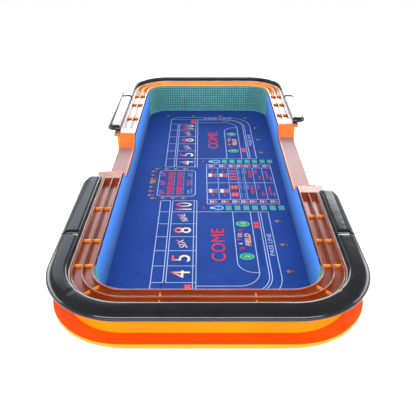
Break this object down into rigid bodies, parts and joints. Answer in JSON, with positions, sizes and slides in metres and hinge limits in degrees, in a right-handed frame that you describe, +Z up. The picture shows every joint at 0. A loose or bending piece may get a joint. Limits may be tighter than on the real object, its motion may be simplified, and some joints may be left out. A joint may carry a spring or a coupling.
{
  "type": "craps table",
  "caption": "Casino craps table: padded armrest and two-groove chip rail round a cloth-and-rubber-lined tub with a printed layout, drink shelves, two pedestals and levelling feet.",
  "frame": {"origin": "on the floor under the middle of the table", "axes": "+X across the table, +Y along the table away from the near end, +Z up"},
  "size_m": [1.5239, 3.3918, 1.003],
  "materials": {
    "black_vinyl": "glossy",
    "armrest_wood": "satin",
    "piping": "glossy",
    "rail_wood": "glossy varnish",
    "divider_wood": "glossy varnish",
    "board_wood": "satin",
    "cheek_wood": "satin",
    "trim_wood": "glossy varnish",
    "plain_wood": "raw",
    "wall_ply": "raw",
    "blue_cloth": "woven cloth",
    "green_rubber": "matte",
    "foam": "matte",
    "blue_felt": "printed cloth",
    "apron_yellow": "satin lacquer",
    "shelf_red": "satin lacquer",
    "edge_yellow": "glossy",
    "bracket_steel": "satin",
    "pedestal_wood": "satin lacquer",
    "plinth_wood": "satin lacquer",
    "insert_brass": "machined",
    "foot_steel": "brushed"
  },
  "bodies": {
    "table": {"armrest_pad_near": "black_vinyl", "armrest_pad_far": "black_vinyl", "armrest_pad_near_left": "black_vinyl", "armrest_pad_near_right": "black_vinyl", "armrest_pad_far_left": "black_vinyl", "armrest_pad_far_right": "black_vinyl", "armrest_base_near": "armrest_wood", "armrest_base_far": "armrest_wood", "armrest_piping": "piping", "chip_rail_near": "rail_wood", "chip_rail_far": "rail_wood", "chip_rail_near_left": "rail_wood", "chip_rail_near_right": "rail_wood", "chip_rail_far_left": "rail_wood", "chip_rail_far_right": "rail_wood", "rail_dividers": "divider_wood", "notch_board_left": "board_wood", "notch_board_right": "board_wood", "notch_cheeks_left": "cheek_wood", "notch_cheeks_right": "cheek_wood", "notch_trim_left": "trim_wood", "notch_trim_right": "trim_wood", "end_blocks": "plain_wood", "wall_left": "wall_ply", "wall_right": "wall_ply", "wall_near": "wall_ply", "wall_far": "wall_ply", "lining_left": "blue_cloth", "lining_right": "blue_cloth", "rubber_near": "green_rubber", "rubber_far": "green_rubber", "deck_board": "wall_ply", "underlay": "foam", "layout_felt": "blue_felt", "apron_left": "apron_yellow", "apron_right": "apron_yellow", "apron_near": "apron_yellow", "apron_far": "apron_yellow", "drink_shelf_near": "shelf_red", "drink_shelf_far": "shelf_red", "shelf_edge_near": "edge_yellow", "shelf_edge_far": "edge_yellow", "shelf_brackets": "bracket_steel", "bearers": "plain_wood", "joists": "plain_wood", "pedestal_collars": "plinth_wood", "pedestal_near": "pedestal_wood", "pedestal_far": "pedestal_wood", "plinth_near": "plinth_wood", "plinth_far": "plinth_wood", "stretcher": "pedestal_wood", "foot_inserts": "insert_brass"},
    "foot_1": {"foot_1": "foot_steel"},
    "foot_2": {"foot_2": "foot_steel"},
    "foot_3": {"foot_3": "foot_steel"},
    "foot_4": {"foot_4": "foot_steel"},
    "foot_5": {"foot_5": "foot_steel"},
    "foot_6": {"foot_6": "foot_steel"},
    "foot_7": {"foot_7": "foot_steel"},
    "foot_8": {"foot_8": "foot_steel"}
  },
  "joints": [
    {"name": "foot_1_extend", "type": "slide", "parent": "table", "child": "foot_1", "axis": [0, 0, -1], "range_m": [0, 0.02]},
    {"name": "foot_2_extend", "type": "slide", "parent": "table", "child": "foot_2", "axis": [0, 0, -1], "range_m": [0, 0.02]},
    {"name": "foot_3_extend", "type": "slide", "parent": "table", "child": "foot_3", "axis": [0, 0, -1], "range_m": [0, 0.02]},
    {"name": "foot_4_extend", "type": "slide", "parent": "table", "child": "foot_4", "axis": [0, 0, -1], "range_m": [0, 0.02]},
    {"name": "foot_5_extend", "type": "slide", "parent": "table", "child": "foot_5", "axis": [0, 0, -1], "range_m": [0, 0.02]},
    {"name": "foot_6_extend", "type": "slide", "parent": "table", "child": "foot_6", "axis": [0, 0, -1], "range_m": [0, 0.02]},
    {"name": "foot_7_extend", "type": "slide", "parent": "table", "child": "foot_7", "axis": [0, 0, -1], "range_m": [0, 0.02]},
    {"name": "foot_8_extend", "type": "slide", "parent": "table", "child": "foot_8", "axis": [0, 0, -1], "range_m": [0, 0.02]}
  ]
}
